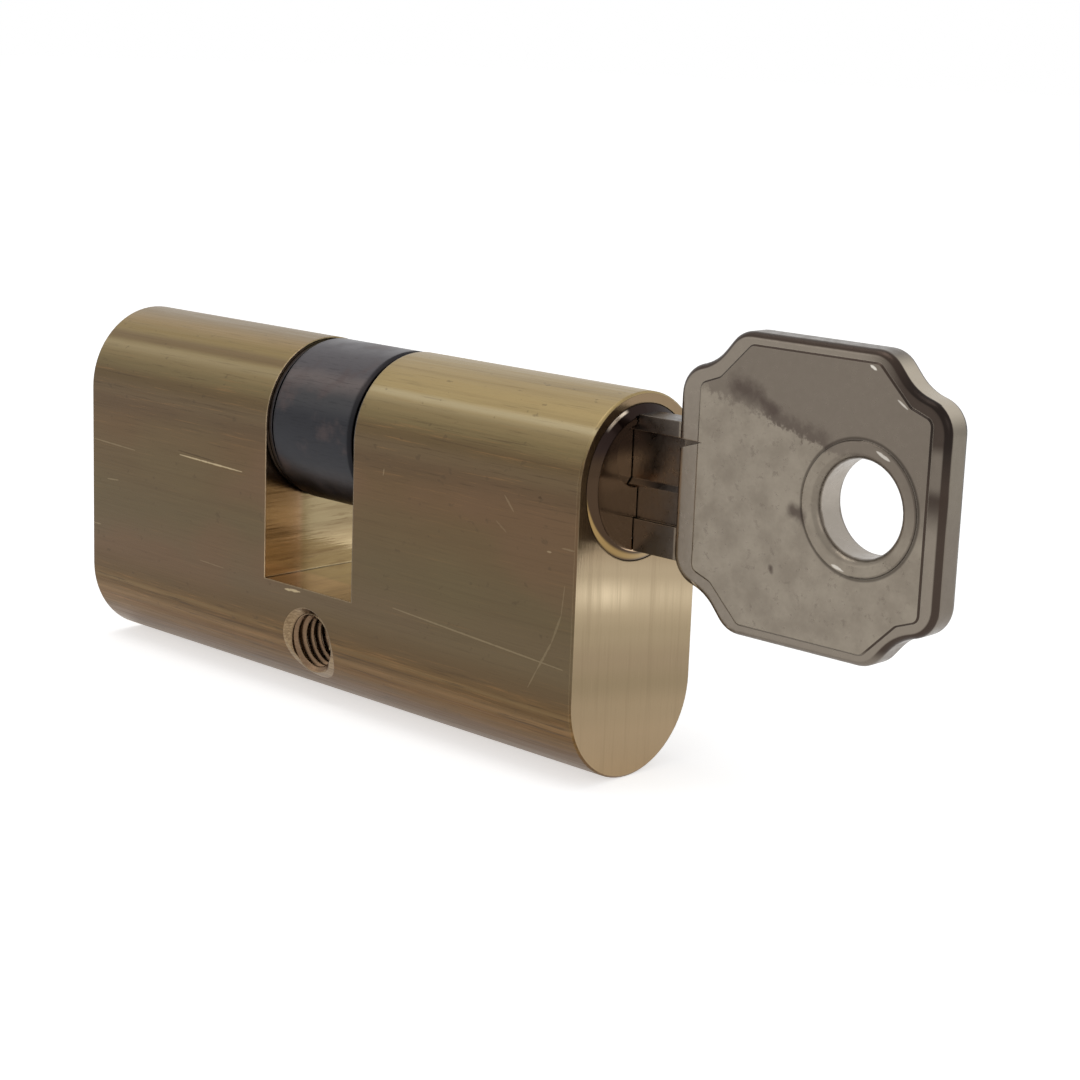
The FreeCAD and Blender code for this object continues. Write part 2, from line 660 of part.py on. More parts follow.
make_cylinder_body()
make_plug("plug_key_side", 1)
make_plug("plug_far_side", -1)
make_retaining_ring("circlip_key_side", 1)
make_retaining_ring("circlip_far_side", -1)
make_cam()
make_coupler("coupler_key_side", 1, coupled)
make_coupler("coupler_far_side", -1, parted)
make_key()
for half_side, half_letter in ((1, "a"), (-1, "b")):
    for pin in range(pin_count):
        make_pin_stack(half_side, half_letter, pin)
check_and_write([item for item in doc.Objects if item.TypeId == "PartDesign::Body"])
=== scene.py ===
import json
import math

import bpy
from mathutils import Matrix, Vector


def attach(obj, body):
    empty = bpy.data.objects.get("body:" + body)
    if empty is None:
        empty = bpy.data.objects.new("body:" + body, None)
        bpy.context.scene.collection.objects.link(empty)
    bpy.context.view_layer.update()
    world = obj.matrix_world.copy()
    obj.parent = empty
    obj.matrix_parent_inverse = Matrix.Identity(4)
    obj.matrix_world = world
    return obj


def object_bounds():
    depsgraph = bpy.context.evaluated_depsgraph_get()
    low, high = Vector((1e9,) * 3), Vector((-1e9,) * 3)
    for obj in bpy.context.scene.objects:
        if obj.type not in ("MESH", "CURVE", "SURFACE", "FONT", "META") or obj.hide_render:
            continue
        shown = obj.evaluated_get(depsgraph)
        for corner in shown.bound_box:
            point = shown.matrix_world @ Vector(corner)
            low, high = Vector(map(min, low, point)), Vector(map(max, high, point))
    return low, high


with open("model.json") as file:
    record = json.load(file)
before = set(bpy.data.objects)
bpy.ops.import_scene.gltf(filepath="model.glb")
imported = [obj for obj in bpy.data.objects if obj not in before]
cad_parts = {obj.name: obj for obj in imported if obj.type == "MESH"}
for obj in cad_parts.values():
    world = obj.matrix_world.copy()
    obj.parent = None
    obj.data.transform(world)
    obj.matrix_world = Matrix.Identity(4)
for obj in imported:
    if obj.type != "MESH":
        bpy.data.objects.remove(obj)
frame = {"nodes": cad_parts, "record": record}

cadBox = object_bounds()
scene = bpy.context.scene
nodes = frame["nodes"]
mm = 0.001
axisHeight = 17.8     # the plugs' axis above the part's origin, in millimetres as all sizes of finishes are


def screen(red, green, blue):
    # a colour as it reads on screen, 0 to 255, as the linear value that nodes take
    def linear(level):
        level = level / 255
        return level / 12.92 if level <= 0.04045 else ((level + 0.055) / 1.055) ** 2.4
    return (linear(red), linear(green), linear(blue), 1.0)


def addNode(tree, kind, **settings):
    node = tree.nodes.new(kind)
    for name, value in settings.items():
        setattr(node, name, value)
    return node


def feed(tree, value, socket):
    # takes a fixed value or another node's output
    if isinstance(value, bpy.types.NodeSocket):
        tree.links.new(value, socket)
    else:
        socket.default_value = value


def maths(tree, operation, *values, clamp=False):
    node = addNode(tree, "ShaderNodeMath", operation=operation, use_clamp=clamp)
    for value, socket in zip(values, node.inputs):
        feed(tree, value, socket)
    return node.outputs[0]


def vectorMaths(tree, operation, *values):
    node = addNode(tree, "ShaderNodeVectorMath", operation=operation)
    for value, socket in zip(values, node.inputs):
        feed(tree, value, socket)
    return node.outputs["Value" if operation in ("LENGTH", "DOT_PRODUCT", "DISTANCE") else "Vector"]


def times(tree, vector, factor):
    node = addNode(tree, "ShaderNodeVectorMath", operation="SCALE")
    feed(tree, vector, node.inputs[0])
    feed(tree, factor, node.inputs["Scale"])
    return node.outputs["Vector"]


def parts(tree, vector):
    node = addNode(tree, "ShaderNodeSeparateXYZ")
    feed(tree, vector, node.inputs[0])
    return node.outputs[0], node.outputs[1], node.outputs[2]


def joined(tree, x, y, z):
    node = addNode(tree, "ShaderNodeCombineXYZ")
    for value, socket in zip((x, y, z), node.inputs):
        feed(tree, value, socket)
    return node.outputs[0]


def fade(tree, value, low, high, out=(0.0, 1.0), smooth=True):
    # runs from out[0] at low to out[1] at high
    node = addNode(tree, "ShaderNodeMapRange", interpolation_type="SMOOTHSTEP" if smooth else "LINEAR")
    for item, socket in zip((value, low, high, out[0], out[1]), node.inputs):
        feed(tree, item, socket)
    return node.outputs[0]


def blend(tree, factor, first, second, mode="MIX"):
    node = addNode(tree, "ShaderNodeMix", data_type="RGBA", blend_type=mode)
    feed(tree, factor, node.inputs[0])
    feed(tree, first, node.inputs[6])
    feed(tree, second, node.inputs[7])
    return node.outputs[2]


def mixed(tree, factor, first, second):
    # the same for plain numbers
    node = addNode(tree, "ShaderNodeMix", data_type="FLOAT")
    feed(tree, factor, node.inputs[0])
    feed(tree, first, node.inputs[2])
    feed(tree, second, node.inputs[3])
    return node.outputs[0]


def product(tree, *masks):
    result = masks[0]
    for mask in masks[1:]:
        result = maths(tree, "MULTIPLY", result, mask)
    return result


def near(tree, value, place, reach, inner, out=(0.0, 1.0)):
    # out[0] beyond the reach of a place, out[1] inside the inner distance from it
    return fade(tree, maths(tree, "ABSOLUTE", maths(tree, "SUBTRACT", value, place)), reach, inner, out)


def window(tree, value, rise, fall):
    # between two borders, each given as where the mask is none and where it is full
    return product(tree, fade(tree, value, *rise), fade(tree, value, *fall))


def tint(tree, tone, colour, pattern, low, high, strength, mask=None):
    # lays a colour over a tone as a pattern goes from low to high, and only inside the mask
    share = fade(tree, pattern, low, high, (0.0, strength))
    return blend(tree, share if mask is None else product(tree, mask, share), tone, colour)


def noise(tree, vector, scale, detail=3.0, rough=0.5):
    node = addNode(tree, "ShaderNodeTexNoise")
    feed(tree, vector, node.inputs["Vector"])
    node.inputs["Scale"].default_value = scale
    node.inputs["Detail"].default_value = detail
    node.inputs["Roughness"].default_value = rough
    return node.outputs[0]


def ramp(tree, value, stops):
    node = addNode(tree, "ShaderNodeValToRGB")
    node.color_ramp.interpolation = "EASE"
    points = node.color_ramp.elements
    while len(points) < len(stops):
        points.new(0.5)
    for point, (place, tone) in zip(points, stops):
        point.position = place
        point.color = tone
    feed(tree, value, node.inputs[0])
    return node.outputs[0]


def newGroup(name, inputs, outputs):
    tree = bpy.data.node_groups.new(name, "ShaderNodeTree")
    for label, kind, value in inputs:
        socket = tree.interface.new_socket(name=label, in_out="INPUT", socket_type=f"NodeSocket{kind}")
        if value is not None:
            socket.default_value = value
    for label, kind in outputs:
        tree.interface.new_socket(name=label, in_out="OUTPUT", socket_type=f"NodeSocket{kind}")
    return tree, tree.nodes.new("NodeGroupInput").outputs, tree.nodes.new("NodeGroupOutput").inputs


def useGroup(tree, group, **values):
    node = addNode(tree, "ShaderNodeGroup", node_tree=group)
    for label, value in values.items():
        feed(tree, value, node.inputs[label])
    return node.outputs


def newMaterial(name, metallic, level):
    material = bpy.data.materials.new(name)
    material.use_nodes = True
    tree = material.node_tree
    tree.nodes.clear()
    shader = tree.nodes.new("ShaderNodeBsdfPrincipled")
    shader.inputs["Metallic"].default_value = metallic
    shader.inputs["Specular IOR Level"].default_value = level
    tree.links.new(shader.outputs[0], tree.nodes.new("ShaderNodeOutputMaterial").inputs[0])
    return material, tree, shader.inputs


def objectSpot(tree):
    # place in millimetres and direction of the surface, both in the piece's own frame
    spot = tree.nodes.new("ShaderNodeTexCoord")
    return times(tree, spot.outputs["Object"], 1 / mm), spot.outputs["Normal"]


def finishMetal(tree, shader, tone, rough, relief, strength, depth, edge):
    # colour, roughness and relief, whose depth is in millimetres, over softened edges
    feed(tree, tone, shader["Base Color"])
    feed(tree, rough, shader["Roughness"])
    bump = addNode(tree, "ShaderNodeBump")
    bump.inputs["Strength"].default_value = strength
    bump.inputs["Distance"].default_value = depth * mm
    feed(tree, relief, bump.inputs["Height"])
    feed(tree, edge["Normal"], bump.inputs["Normal"])
    feed(tree, bump.outputs[0], shader["Normal"])


def buildGrain():
    # lines left by drawing, brushing or milling: long along one axis, fine across it
    tree, given, result = newGroup(
        "toolLines", [("Place", "Vector", None), ("Stretch", "Vector", (1, 1, 1))],
        [("Broad", "Float"), ("Fine", "Float"), ("Height", "Float")])
    run = vectorMaths(tree, "MULTIPLY", given["Place"], given["Stretch"])
    broad = noise(tree, run, 1.0, 4.0, 0.6)
    fine = noise(tree, run, 5.0, 5.0, 0.7)
    feed(tree, broad, result["Broad"])
    feed(tree, fine, result["Fine"])
    feed(tree, maths(tree, "ADD", maths(tree, "MULTIPLY", broad, 0.5), fine), result["Height"])
    return tree


def fromLine(tree, given):
    # how far along the line a place lies, 0 to 1, and how far away from it
    line = vectorMaths(tree, "SUBTRACT", given["End"], given["Start"])
    offset = vectorMaths(tree, "SUBTRACT", given["Place"], given["Start"])
    along = maths(tree, "DIVIDE", vectorMaths(tree, "DOT_PRODUCT", offset, line),
                  vectorMaths(tree, "DOT_PRODUCT", line, line), clamp=True)
    return along, vectorMaths(tree, "DISTANCE", offset, times(tree, line, along))


def buildScratch():
    # one straight scratch between two points, wavering in width and thin at its ends
    tree, given, result = newGroup(
        "scratch", [("Place", "Vector", None), ("Start", "Vector", (0, 0, 0)),
                    ("End", "Vector", (1, 0, 0)), ("Width", "Float", 0.1)], [("Mask", "Float")])
    along, away = fromLine(tree, given)
    ends = maths(tree, "SUBTRACT", 1.0, maths(
        tree, "POWER", maths(tree, "ABSOLUTE", maths(tree, "MULTIPLY_ADD", along, 2.0, -1.0)), 3.0))
    waver = fade(tree, noise(tree, given["Place"], 1.6, 3.0, 0.7), 0.3, 0.6, (0.25, 1.0))
    reach = product(tree, given["Width"], ends, waver)
    feed(tree, fade(tree, maths(tree, "SUBTRACT", away, reach), 0.07, -0.02), result["Mask"])
    return tree


def buildStain():
    # a blotch of tarnish with a ragged border
    tree, given, result = newGroup(
        "stain", [("Place", "Vector", None), ("Start", "Vector", (0, 0, 0)),
                  ("End", "Vector", (1, 0, 0)), ("Width", "Float", 1.0)], [("Mask", "Float")])
    away = fromLine(tree, given)[1]
    ragged = noise(tree, given["Place"], 0.9, 5.0, 0.62)
    edge = maths(tree, "DIVIDE", away, given["Width"])
    feed(tree, fade(tree, maths(tree, "ADD", edge, ragged), 1.25, 0.55), result["Mask"])
    return tree


def buildWornEdge():
    # rounds the sharp edges in shading and finds where they are
    tree, given, result = newGroup(
        "wornEdge", [("Radius", "Float", 0.0001)], [("Normal", "Vector"), ("Mask", "Float")])
    soft = addNode(tree, "ShaderNodeBevel", samples=6)
    feed(tree, given["Radius"], soft.inputs["Radius"])
    bare = addNode(tree, "ShaderNodeNewGeometry")
    lean = vectorMaths(tree, "DOT_PRODUCT", soft.outputs[0], bare.outputs["True Normal"])
    feed(tree, soft.outputs[0], result["Normal"])
    feed(tree, fade(tree, lean, 0.995, 0.8), result["Mask"])
    return tree


def buildOcclusionShade():
    # painted shade: darker where the surface is hidden in corners and gaps
    tree, given, result = newGroup(
        "occlusionShade", [("Reach", "Float", 0.001)], [("Mask", "Float")])
    hidden = addNode(tree, "ShaderNodeAmbientOcclusion", samples=8, only_local=True)
    feed(tree, given["Reach"], hidden.inputs["Distance"])
    feed(tree, fade(tree, hidden.outputs["AO"], 0.8, 0.35), result["Mask"])
    return tree


toolLines = buildGrain()
scratch = buildScratch()
stain = buildStain()
wornEdge = buildWornEdge()
occlusionShade = buildOcclusionShade()
print("shared effects built")


bodyLook = {
    "height": (-5.3, 24.7),           # lowest and highest point
    "squareOn": (0.85, 0.95),         # share of the normal from which a face counts as square to an axis
    "endFrom": (25.0, 26.0),          # distances from the middle: ends, slot walls
    "slotWall": (5.7, 5.6),
    "slotNear": (6.0, 5.0),           # heights at the slot's floor
    "slotFloor": (4.8, 4.74),
    "holeWall": (3.12, 3.08),         # radii in the fixing hole
    "threadCrest": (2.62, 2.45),
    "keySide": (1.0, 8.0),            # where the painted highlights of the top come in along the bar, on the key's half
    "topHighlightFrom": (21.5, 22.5),      # heights of the painted highlight, the painted dark reflection line and the painted gleam on the rounded top
    "topLineHeight": 22.65,
    "gleamHeight": 22.15,
    "middle": ((1.0, 4.0), (19.0, 15.0)),          # heights of the olive and brown patches
    "rusty": ((2.2, 0.8), (-3.5, -1.5)),           # and of the rusty streaks
    "highlightPlace": (-3.4, 9.1),         # middle of the ends' painted highlight, across and up
    "skinTonesAndReflections": [                    # drawn skin from the lowest to the highest point, its own tones with painted reflections of light and dark surroundings
        (0.0, screen(126, 102, 74)),
        (0.083, screen(105, 81, 54)),
        (0.11, screen(109, 84, 52)),
        (0.137, screen(109, 82, 48)),
        (0.157, screen(110, 87, 58)),
        (0.187, screen(103, 81, 53)),
        (0.243, screen(95, 78, 57)),
        (0.31, screen(99, 84, 65)),
        (0.443, screen(95, 82, 61)),
        (0.577, screen(97, 81, 59)),
        (0.677, screen(98, 79, 57)),
        (0.743, screen(91, 74, 55)),
        (0.785, screen(99, 83, 62)),
        (0.823, screen(94, 78, 55)),
        (0.86, screen(107, 93, 65)),
        (0.883, screen(122, 106, 75)),
        (0.907, screen(145, 129, 96)),
        (0.925, screen(144, 128, 91)),
        (0.957, screen(133, 113, 72)),
        (0.977, screen(143, 120, 80)),
        (1.0, screen(130, 110, 76))],
    "bandLines": [                    # height, half width, tone and strength of single lines
        (0.60, 0.30, screen(122, 101, 70), 0.6),
        (0.05, 0.35, screen(90, 68, 42), 0.55),
        (-0.60, 0.28, screen(136, 106, 70), 0.6),
        (-1.15, 0.30, screen(98, 72, 46), 0.5)],
    # painted dark reflection line, painted highlight and painted gleam along the rounded top
    "topReflectionLine": screen(116, 97, 68),
    "topHighlight": screen(159, 139, 97),
    "topGleam": screen(172, 158, 126),
    "olive": screen(98, 87, 63),
    "brown": screen(103, 81, 62),
    "darkStreak": screen(74, 60, 45),
    "warmStreak": screen(134, 102, 68),
    "rustStreak": screen(138, 102, 66),
    "speck": screen(76, 64, 50),
    "endTonesAndReflections": [                     # brushed ends from the lowest to the highest point, with a painted highlight below the plug and a painted dark reflection of the key beside and above it
        (0.0, screen(160, 137, 106)),
        (0.11, screen(156, 135, 106)),
        (0.18, screen(149, 130, 102)),
        (0.25, screen(137, 120, 93)),
        (0.31, screen(142, 124, 98)),
        (0.38, screen(150, 133, 105)),
        (0.45, screen(165, 147, 118)),
        (0.54, screen(164, 146, 118)),
        (0.60, screen(148, 129, 102)),
        (0.65, screen(126, 107, 82)),
        (0.76, screen(134, 114, 88)),
        (0.85, screen(136, 114, 88)),
        (1.0, screen(134, 114, 88))],
    # painted highlight on the ends below the plug, laid faintly low in the slot too
    "endHighlight": screen(208, 189, 157),
    "brushDark": screen(112, 94, 70),
    "slotLeft": screen(222, 192, 160),
    "slotRight": screen(190, 171, 131),
    "slotLines": screen(140, 113, 82),
    "slotShade": (0.4, 0.4, 0.41, 1.0),
    "threadTone": screen(150, 129, 100),
    "threadDark": screen(112, 92, 70),
    "threadBrown": screen(112, 88, 70),
    "brightScratch": screen(186, 168, 134),
    "darkScratch": screen(56, 44, 32),
    "drawnStretch": (0.018, 1.1, 1.1),
    "streakStretch": (0.03, 0.9, 0.9),
    "brushStretch": (0.9, 1.2, 0.05),
    "millStretch": (0.5, 0.05, 0.8),
    "skinRoughness": (0.3, 0.44),
    "endRoughness": 0.15,
    "slotRoughness": 0.16,
    "threadRoughness": 0.22,
    "edgeRadius": 0.18,
    "edgeWear": 0.3,
    "relief": (0.35, 0.04)}           # strength and depth

# straight scratches on the visible side, in millimetres: start, end, width and strength,
# below zero for a dark one
sideMarks = [
    ((-17.1, -6.9, 13.5), (-8.6, -6.9, 13.3), 0.05, 0.75),
    ((-17.3, -6.9, 13.85), (-12.4, -6.9, 13.65), 0.03, -0.6),
    ((-29.8, -6.9, 13.1), (-23.6, -6.9, 12.9), 0.03, 0.2),
    ((-27.7, -6.9, 9.7), (-26.1, -6.9, 9.8), 0.04, 0.2),
    ((-30.0, -6.9, 5.3), (-28.8, -6.9, 5.3), 0.04, 0.25),
    ((-14.2, -6.9, 4.6), (-11.0, -6.9, 4.5), 0.03, 0.12),
    ((-2.8, -6.9, 4.25), (-0.85, -6.9, 4.35), 0.10, 0.7),
    ((7.6, -6.3, 21.65), (9.3, -6.3, 21.7), 0.06, 0.5),
    ((9.1, -6.9, 16.3), (9.0, -6.9, 15.8), 0.04, 0.2),
    ((22.5, -6.9, 16.4), (23.5, -6.9, 15.3), 0.08, 0.12),
    ((21.7, -6.9, 14.3), (22.8, -6.9, 13.6), 0.06, 0.08),
    ((26.0, -6.9, 16.8), (26.3, -6.9, 16.8), 0.12, -0.5),
    ((28.6, -6.9, 13.4), (29.8, -6.9, 13.4), 0.06, 0.14),
    ((27.1, -6.9, 12.9), (27.5, -6.9, 12.9), 0.05, 0.3),
    ((10.5, -6.9, 5.25), (29.1, -6.9, 4.2), 0.04, 0.2),
    ((29.0, -6.9, 10.6), (28.75, -6.9, 8.3), 0.04, 0.1),
    ((28.75, -6.9, 8.3), (27.85, -6.9, 6.0), 0.08, 0.11),
    ((27.85, -6.9, 6.0), (26.5, -6.9, 3.7), 0.10, 0.13),
    ((26.5, -6.9, 3.7), (25.6, -6.9, 2.1), 0.04, 0.12),
    ((23.5, -6.7, -0.3), (22.4, -6.5, -1.6), 0.04, 0.3),
    ((14.7, -6.9, -0.85), (14.9, -6.9, -0.8), 0.14, -0.6)]


def bodyPlaces(tree, place, normal, look):
    # masks of the end faces, the slot and the fixing hole
    x, y, z = parts(tree, place)
    outX = maths(tree, "ABSOLUTE", x)
    lengthways, sideways, upward = parts(tree, normal)
    endOn = fade(tree, maths(tree, "ABSOLUTE", lengthways), *look["squareOn"])
    inSlot = fade(tree, outX, *look["slotWall"])
    floor = product(tree, fade(tree, upward, *look["squareOn"]), inSlot, fade(tree, z, *look["slotNear"]))
    fromHole = vectorMaths(tree, "LENGTH", joined(tree, x, 0.0, z))
    return {
        "end": product(tree, endOn, fade(tree, outX, *look["endFrom"])),
        "slot": maths(tree, "MAXIMUM", product(tree, endOn, inSlot), floor),
        "hole": fade(tree, fromHole, *look["holeWall"]),
        "thread": fade(tree, fromHole, *look["threadCrest"])}


def bodySkin(tree, place, look, drawn):
    # tone by height with painted reflections and painted highlights, single drawn lines, streaks along the
    # bar, patches and scratches
    x, y, z = parts(tree, place)
    thin = useGroup(tree, toolLines, Place=place, Stretch=look["streakStretch"])
    skin = ramp(tree, fade(tree, z, *look["height"], smooth=False), look["skinTonesAndReflections"])
    keySide = fade(tree, x, *look["keySide"])
    # painted highlight along the rounded top, on the key's half
    skin = tint(tree, skin, look["topHighlight"], z, *look["topHighlightFrom"], 0.8, keySide)
    # the middle heights turn olive in some places and brown in others
    patch = noise(tree, vectorMaths(tree, "MULTIPLY", place, (0.05, 0.05, 0.1)), 1.0, 2.0)
    middle = window(tree, z, *look["middle"])
    skin = tint(tree, skin, look["olive"], patch, 0.5, 0.64, 0.3, middle)
    skin = tint(tree, skin, look["brown"], patch, 0.48, 0.36, 0.6, middle)
    waver = maths(tree, "MULTIPLY_ADD", noise(tree, vectorMaths(
        tree, "MULTIPLY", place, (0.05, 0.05, 0.3)), 1.0, 3.0), 0.5, -0.25)
    level = maths(tree, "ADD", z, waver)
    # a painted dark reflection line on the top's left half, and a painted gleam just below it
    topReflectionLine = near(tree, level, look["topLineHeight"], 0.6, 0.1)
    skin = tint(tree, skin, look["topReflectionLine"], x, 6.0, -2.0, 1.0, topReflectionLine)
    gleam = near(tree, level, look["gleamHeight"], 0.4, 0.05)
    skin = blend(tree, product(tree, gleam, keySide, 0.7), skin, look["topGleam"])
    for height, half, tone, strength in look["bandLines"]:
        faint = fade(tree, thin["Broad"], 0.35, 0.6, (0.4 * strength, strength))
        skin = blend(tree, product(tree, near(tree, level, height, half, 0.0), faint), skin, tone)
    # streaks are strong above and below the middle, and faint there and on the bright top
    amount = maths(tree, "MAXIMUM", fade(tree, z, 13.0, 17.5, (0.3, 1.0)), fade(
        tree, z, 2.5, 0.5, (0.3, 1.0)))
    amount = product(tree, amount, fade(tree, z, 20.3, 21.8, (1.0, 0.4)))
    rusty = window(tree, z, *look["rusty"])
    for tone, lines, low, high, strength, mask in (
            ("darkStreak", thin["Fine"], 0.46, 0.32, 0.6, amount),
            ("warmStreak", thin["Fine"], 0.55, 0.7, 0.45, amount),
            ("darkStreak", drawn["Broad"], 0.45, 0.3, 0.4, amount),
            ("rustStreak", thin["Fine"], 0.5, 0.66, 0.22, rusty),
            ("darkStreak", thin["Fine"], 0.46, 0.34, 0.2, rusty)):
        skin = tint(tree, skin, look[tone], lines, low, high, strength, mask)
    specks = noise(tree, vectorMaths(tree, "MULTIPLY", place, (0.7, 1.0, 1.0)), 1.5, 2.0)
    skin = tint(tree, skin, look["speck"], specks, 0.66, 0.76, 0.4)
    bright, dark = 0.0, 0.0
    for start, end, width, strength in sideMarks:
        mark = product(tree, abs(strength), useGroup(
            tree, scratch, Place=place, Start=start, End=end, Width=width)["Mask"])
        if strength > 0:
            bright = maths(tree, "MAXIMUM", bright, mark)
        else:
            dark = maths(tree, "MAXIMUM", dark, mark)
    skin = blend(tree, bright, skin, look["brightScratch"])
    return blend(tree, dark, skin, look["darkScratch"]), bright


def bodyEnds(tree, place, look, brushed):
    # brushed up and down, with a painted highlight across the end below the plug
    x, y, z = parts(tree, place)
    level = maths(tree, "MULTIPLY_ADD", y, 0.15, z)
    ends = ramp(tree, fade(tree, level, *look["height"], smooth=False), look["endTonesAndReflections"])
    across, height = look["highlightPlace"]
    # the band of the painted highlight
    band = near(tree, level, height, 1.7, 0.0)
    spread = near(tree, y, across, 4.0, 0.5, (0.4, 0.95))
    streaked = fade(tree, brushed["Broad"], 0.3, 0.65, (0.6, 1.0))
    ends = blend(tree, product(tree, band, spread, streaked), ends, look["endHighlight"])
    ends = tint(tree, ends, look["brushDark"], brushed["Broad"], 0.5, 0.3, 0.16)
    ends = tint(tree, ends, look["brushDark"], brushed["Fine"], 0.46, 0.3, 0.14)
    return tint(tree, ends, look["brightScratch"], brushed["Fine"], 0.6, 0.75, 0.16)


def bodySlot(tree, place, look, milled):
    # milled across the bar: pale and warm near the visible side, yellower further in
    x, y, z = parts(tree, place)
    slot = blend(tree, fade(tree, y, -3.2, -2.5), look["slotLeft"], look["slotRight"])
    slot = tint(tree, slot, look["slotLines"], milled["Broad"], 0.55, 0.35, 0.45)
    slot = tint(tree, slot, look["slotLines"], milled["Fine"], 0.45, 0.36, 0.5)
    # painted highlight, paler toward the slot's floor
    slot = tint(tree, slot, look["endHighlight"], z, 9.5, 5.0, 0.15)
    # painted shade, darker at the top of the walls and on the floor
    shade = maths(tree, "MAXIMUM", fade(tree, z, 6.5, 8.7, (0.0, 0.65)), fade(
        tree, z, *look["slotFloor"], (0.0, 0.45)))
    return blend(tree, shade, slot, look["slotShade"], "MULTIPLY")


def makeBodyBrass():
    look = bodyLook
    material, tree, shader = newMaterial("bodyBrass", 1.0, 0.5)
    place, normal = objectSpot(tree)
    where = bodyPlaces(tree, place, normal, look)
    drawn = useGroup(tree, toolLines, Place=place, Stretch=look["drawnStretch"])
    brushed = useGroup(tree, toolLines, Place=place, Stretch=look["brushStretch"])
    milled = useGroup(tree, toolLines, Place=place, Stretch=look["millStretch"])
    skin, bright = bodySkin(tree, place, look, drawn)
    hole = blend(tree, fade(tree, drawn["Fine"], 0.3, 0.7), look["threadDark"], look["threadTone"])
    hole = blend(tree, product(tree, where["thread"], 0.7), hole, look["threadBrown"])
    tone = blend(tree, where["end"], skin, bodyEnds(tree, place, look, brushed))
    tone = blend(tree, where["slot"], tone, bodySlot(tree, place, look, milled))
    tone = blend(tree, where["hole"], tone, hole)
    edge = useGroup(tree, wornEdge, Radius=look["edgeRadius"] * mm)
    tone = blend(tree, product(tree, edge["Mask"], look["edgeWear"]), tone, look["brightScratch"])
    rough = fade(tree, drawn["Fine"], 0.3, 0.7, look["skinRoughness"])
    rough = mixed(tree, where["end"], rough, look["endRoughness"])
    rough = mixed(tree, where["slot"], rough, look["slotRoughness"])
    rough = mixed(tree, where["hole"], rough, look["threadRoughness"])
    isSkin = maths(tree, "SUBTRACT", 1.0, maths(tree, "MAXIMUM", where["hole"], maths(
        tree, "MAXIMUM", where["end"], where["slot"])))
    relief = maths(tree, "ADD", product(tree, drawn["Height"], isSkin), maths(
        tree, "ADD", product(tree, brushed["Height"], where["end"]),
        product(tree, milled["Broad"], where["slot"], 2.0)))
    relief = maths(tree, "MULTIPLY_ADD", bright, -0.6, relief)
    finishMetal(tree, shader, tone, rough, relief, *look["relief"], edge)
    return material


plugLook = {
    "bevelFrom": (5.16, 5.24),        # radii about the axis
    "upperGlint": ((5.74, 5.83), (6.02, 5.94)),
    "upperTurn": ((0.78, 1.0), (1.27, 1.17)),      # radians round the axis, from the visible side up
    "lowerGlint": 6.2,                # radius about a point a little above the axis
    "lowerLift": 0.6,
    "lowerTurn": (0.1, -0.4),
    "warmRise": ((-0.6, 0.5), (2.7, 1.7)),         # heights above the axis
    "darkRise": (1.6, 3.1),
    "face": screen(212, 183, 152),
    "faceDark": screen(196, 167, 136),
    "faceWarm": screen(226, 194, 160),
    "farFace": screen(168, 146, 106),
    # painted dark reflections: on the upper face, and all over the bevel, darkest at its top
    "faceTopReflection": screen(128, 106, 92),
    "bevel": screen(70, 55, 42),
    "bevelTopReflection": screen(44, 34, 31),
    # painted highlights on the bevel
    "glint": screen(222, 206, 186),
    "lowGlint": screen(150, 124, 80),
    # painted shade in hollows and corners
    "paintedShade": screen(30, 25, 24),
    "roughness": (0.1, 0.18),
    "shadeReach": 1.2,
    "edgeRadius": 0.1,
    "relief": (0.15, 0.01)}


def makePlugBrass():
    look = plugLook
    material, tree, shader = newMaterial("plugBrass", 1.0, 0.5)
    x, y, z = parts(tree, objectSpot(tree)[0])
    rise = maths(tree, "SUBTRACT", z, axisHeight)
    across = vectorMaths(tree, "LENGTH", joined(tree, 0.0, y, rise))
    turn = maths(tree, "ARCTAN2", rise, maths(tree, "MULTIPLY", y, -1.0))
    # rings left by the lathe, faint, and a painted dark reflection of the key well above the axis
    rings = noise(tree, joined(tree, across, 0.0, 0.0), 6.0, 4.0, 0.7)
    upward = fade(tree, rise, *look["darkRise"])
    face = blend(tree, fade(tree, rings, 0.3, 0.7), look["faceDark"], look["face"])
    face = blend(tree, window(tree, rise, *look["warmRise"]), face, look["faceWarm"])
    face = blend(tree, upward, face, look["faceTopReflection"])
    face = blend(tree, fade(tree, x, 1.0, -1.0), face, look["farFace"])
    # the bevel's dark tones are a painted dark reflection, darkest well above the axis
    bevel = blend(tree, upward, look["bevel"], look["bevelTopReflection"])
    tone = blend(tree, fade(tree, across, *look["bevelFrom"]), face, bevel)
    # painted highlights on the bevel: a glint at the upper left and a thin bright line along its lower rim
    upper = product(tree, window(tree, turn, *look["upperTurn"]), window(tree, across, *look["upperGlint"]))
    inward = vectorMaths(tree, "LENGTH", joined(tree, 0.0, y, maths(
        tree, "SUBTRACT", rise, look["lowerLift"])))
    half = fade(tree, turn, -0.4, -1.2, (0.2, 0.36))
    lower = product(tree, near(tree, inward, look["lowerGlint"], half, 0.08),
                    fade(tree, turn, *look["lowerTurn"]), fade(tree, across, 5.1, 5.3))
    tone = blend(tree, upper, tone, look["glint"])
    tone = blend(tree, lower, tone, look["lowGlint"])
    # painted shade in hollows and corners
    paintedShade = useGroup(tree, occlusionShade, Reach=look["shadeReach"] * mm)["Mask"]
    tone = blend(tree, product(tree, paintedShade, 0.75), tone, look["paintedShade"])
    edge = useGroup(tree, wornEdge, Radius=look["edgeRadius"] * mm)
    rough = fade(tree, rings, 0.3, 0.7, look["roughness"])
    finishMetal(tree, shader, tone, rough, rings, *look["relief"], edge)
    return material


